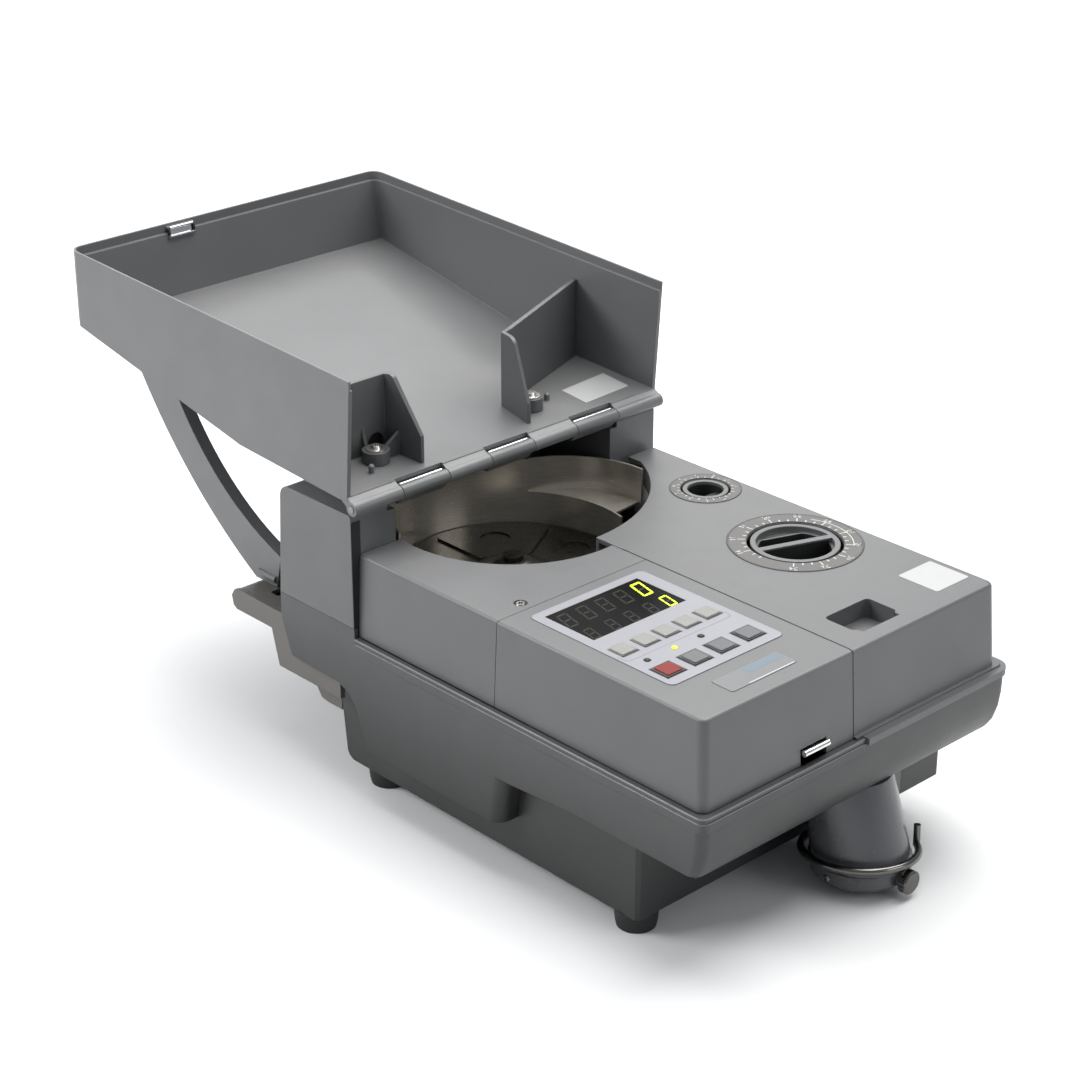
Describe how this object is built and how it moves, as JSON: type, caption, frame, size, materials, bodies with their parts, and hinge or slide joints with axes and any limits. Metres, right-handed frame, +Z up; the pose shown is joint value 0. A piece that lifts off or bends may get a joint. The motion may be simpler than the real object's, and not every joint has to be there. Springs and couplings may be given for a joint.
{
  "type": "coin counting machine",
  "caption": "Bench-top coin counting machine with a fold-over feed tray, round disc hopper, keypad with display, two setting dials and a front outlet tube with a bag ring.",
  "frame": {"origin": "middle of the footprint's bounding box, on the plane under the rubber feet", "axes": "+X to the operator's right, +Y from the outlet tube at the front to the tray at the rear, +Z up"},
  "size_m": [0.237, 0.5318, 0.2612],
  "materials": {
    "grey_plastic": "moulded, fine satin grain",
    "dark_plastic": "moulded, satin",
    "rubber": "matt",
    "brushed_steel": "brushed",
    "zinc_steel": "plated, satin",
    "chrome": "polished",
    "wire_steel": "drawn wire, dull bright",
    "overlay": "printed film, satin",
    "badge": "blank silvered film",
    "display": "smoked, glossy",
    "lamp": "clear coloured",
    "key_pale": "satin",
    "key_grey": "satin",
    "key_red": "satin",
    "scale": "printed film, matt",
    "board": "solder mask",
    "gear_plastic": "moulded acetal",
    "motor_metal": "satin paint",
    "copper_iron": "varnished"
  },
  "bodies": {
    "chassis": {"base_tub": "grey_plastic", "rubber_feet": "rubber", "case_screws": "zinc_steel", "lower_case": "grey_plastic", "rear_housing": "grey_plastic", "hopper_cover": "grey_plastic", "control_cover": "grey_plastic", "overlay_panel": "overlay", "badge_plate": "badge", "display_window": "display", "display_board": "board", "indicator_lamps": "lamp", "feed_deck": "dark_plastic", "hopper_bowl": "brushed_steel", "coin_track": "brushed_steel", "belt_frame": "dark_plastic", "feed_belt": "rubber", "feed_motor": "motor_metal", "coin_sensor": "dark_plastic", "drive_motor": "motor_metal", "main_board": "board", "power_supply": "copper_iron", "power_inlet": "dark_plastic", "rear_bracket": "grey_plastic", "hinge_pin": "zinc_steel", "cover_hinge_post": "dark_plastic", "outlet_tube": "grey_plastic", "tube_collar": "grey_plastic"},
    "tray": {"hopper_tray": "grey_plastic", "tray_guide_left": "grey_plastic", "tray_guide_right": "grey_plastic", "guide_screws": "zinc_steel"},
    "arms": {"support_arms": "grey_plastic", "arm_rod": "zinc_steel"},
    "lid": {"right_cover": "grey_plastic", "diameter_scale": "scale", "thickness_scale": "scale"},
    "diameter_knob": {"diameter_dial": "grey_plastic"},
    "gauge": {"gauge_slide": "zinc_steel"},
    "thickness_knob": {"thickness_dial": "grey_plastic"},
    "gate": {"thickness_gate": "zinc_steel"},
    "latch": {"release_latch": "chrome"},
    "disc": {"feed_disc": "brushed_steel", "disc_gear": "gear_plastic"},
    "pinion": {"motor_pinion": "zinc_steel"},
    "roller_front": {"belt_roller_front": "zinc_steel"},
    "roller_rear": {"belt_roller_rear": "zinc_steel"},
    "thumb": {"thumbscrew": "wire_steel"},
    "ring": {"bag_ring": "wire_steel"},
    "rocker": {"power_switch": "dark_plastic"},
    "ktop1": {"key_top_1": "key_pale"},
    "ktop2": {"key_top_2": "key_pale"},
    "ktop3": {"key_top_3": "key_pale"},
    "ktop4": {"key_top_4": "key_pale"},
    "ktop5": {"key_top_5": "key_pale"},
    "klow1": {"key_low_1": "key_red"},
    "klow2": {"key_low_2": "key_grey"},
    "klow3": {"key_low_3": "key_grey"},
    "klow4": {"key_low_4": "key_grey"}
  },
  "joints": [
    {"name": "tray_hinge", "type": "hinge", "parent": "chassis", "child": "tray", "pos_m": [0, 0.00995, 0.178], "axis": [1, 0, 0], "range_deg": [0, 150]},
    {"name": "arm_fold", "type": "hinge", "parent": "tray", "child": "arms", "pos_m": [-0.0905, 0.22245, 0.194], "axis": [1, 0, 0], "range_deg": [-28, 0]},
    {"name": "cover_hinge", "type": "hinge", "parent": "chassis", "child": "lid", "pos_m": [0.0965, 0.00345, 0.1434], "axis": [1, 0, 0], "range_deg": [-70, 0]},
    {"name": "diameter_turn", "type": "hinge", "parent": "chassis", "child": "diameter_knob", "pos_m": [0.0698, -0.13855, 0.141], "axis": [0, 0, 1], "range_deg": [-120, 45]},
    {"name": "gauge_travel", "type": "slide", "parent": "chassis", "child": "gauge", "axis": [1, 0, 0], "range_m": [-0.00471, 0.01257]},
    {"name": "thickness_turn", "type": "hinge", "parent": "chassis", "child": "thickness_knob", "pos_m": [0.0868, -0.05525, 0.141], "axis": [0, 0, 1], "range_deg": [-135, 135]},
    {"name": "gate_travel", "type": "slide", "parent": "chassis", "child": "gate", "axis": [0, 0, 1], "range_m": [-0.00236, 0.00236]},
    {"name": "latch_press", "type": "slide", "parent": "chassis", "child": "latch", "axis": [0, 0, 1], "range_m": [-0.0025, 0], "stiffness_N_per_m": 400},
    {"name": "key_top_1_press", "type": "slide", "parent": "chassis", "child": "ktop1", "axis": [0, 0, 1], "range_m": [-0.001, 0], "stiffness_N_per_m": 300},
    {"name": "key_top_2_press", "type": "slide", "parent": "chassis", "child": "ktop2", "axis": [0, 0, 1], "range_m": [-0.001, 0], "stiffness_N_per_m": 300},
    {"name": "key_top_3_press", "type": "slide", "parent": "chassis", "child": "ktop3", "axis": [0, 0, 1], "range_m": [-0.001, 0], "stiffness_N_per_m": 300},
    {"name": "key_top_4_press", "type": "slide", "parent": "chassis", "child": "ktop4", "axis": [0, 0, 1], "range_m": [-0.001, 0], "stiffness_N_per_m": 300},
    {"name": "key_top_5_press", "type": "slide", "parent": "chassis", "child": "ktop5", "axis": [0, 0, 1], "range_m": [-0.001, 0], "stiffness_N_per_m": 300},
    {"name": "key_low_1_press", "type": "slide", "parent": "chassis", "child": "klow1", "axis": [0, 0, 1], "range_m": [-0.001, 0], "stiffness_N_per_m": 300},
    {"name": "key_low_2_press", "type": "slide", "parent": "chassis", "child": "klow2", "axis": [0, 0, 1], "range_m": [-0.001, 0], "stiffness_N_per_m": 300},
    {"name": "key_low_3_press", "type": "slide", "parent": "chassis", "child": "klow3", "axis": [0, 0, 1], "range_m": [-0.001, 0], "stiffness_N_per_m": 300},
    {"name": "key_low_4_press", "type": "slide", "parent": "chassis", "child": "klow4", "axis": [0, 0, 1], "range_m": [-0.001, 0], "stiffness_N_per_m": 300},
    {"name": "disc_spin", "type": "hinge", "parent": "chassis", "child": "disc", "pos_m": [-0.012, -0.00105, 0.101], "axis": [0, 0, 1], "continuous": true},
    {"name": "pinion_spin", "type": "hinge", "parent": "chassis", "child": "pinion", "pos_m": [-0.012, -0.05355, 0.087], "axis": [0, 0, 1], "continuous": true},
    {"name": "belt_front_spin", "type": "hinge", "parent": "chassis", "child": "roller_front", "pos_m": [0.0245, -0.20355, 0.123], "axis": [1, 0, 0], "continuous": true},
    {"name": "belt_rear_spin", "type": "hinge", "parent": "chassis", "child": "roller_rear", "pos_m": [0.0245, -0.04855, 0.123], "axis": [1, 0, 0], "continuous": true},
    {"name": "thumb_turn", "type": "hinge", "parent": "chassis", "child": "thumb", "pos_m": [0.0275, -0.26055, 0.0098], "axis": [0, 1, 0], "continuous": true},
    {"name": "ring_lift", "type": "slide", "parent": "chassis", "child": "ring", "axis": [0, 0.275, 0.9614], "range_m": [0, 0.01]},
    {"name": "rocker_tip", "type": "hinge", "parent": "chassis", "child": "rocker", "pos_m": [0.0945, 0.07045, 0.1532], "axis": [1, 0, 0], "range_deg": [0, 12]}
  ],
  "couplings": [
    {"joint": "arm_fold", "follows": "tray_hinge", "ratio": -0.18667},
    {"joint": "diameter_turn", "follows": "gauge_travel", "rad_per_m": -166.67},
    {"joint": "thickness_turn", "follows": "gate_travel", "rad_per_m": 1000},
    {"joint": "pinion_spin", "follows": "disc_spin", "ratio": -5},
    {"joint": "belt_rear_spin", "follows": "belt_front_spin", "ratio": 1}
  ]
}
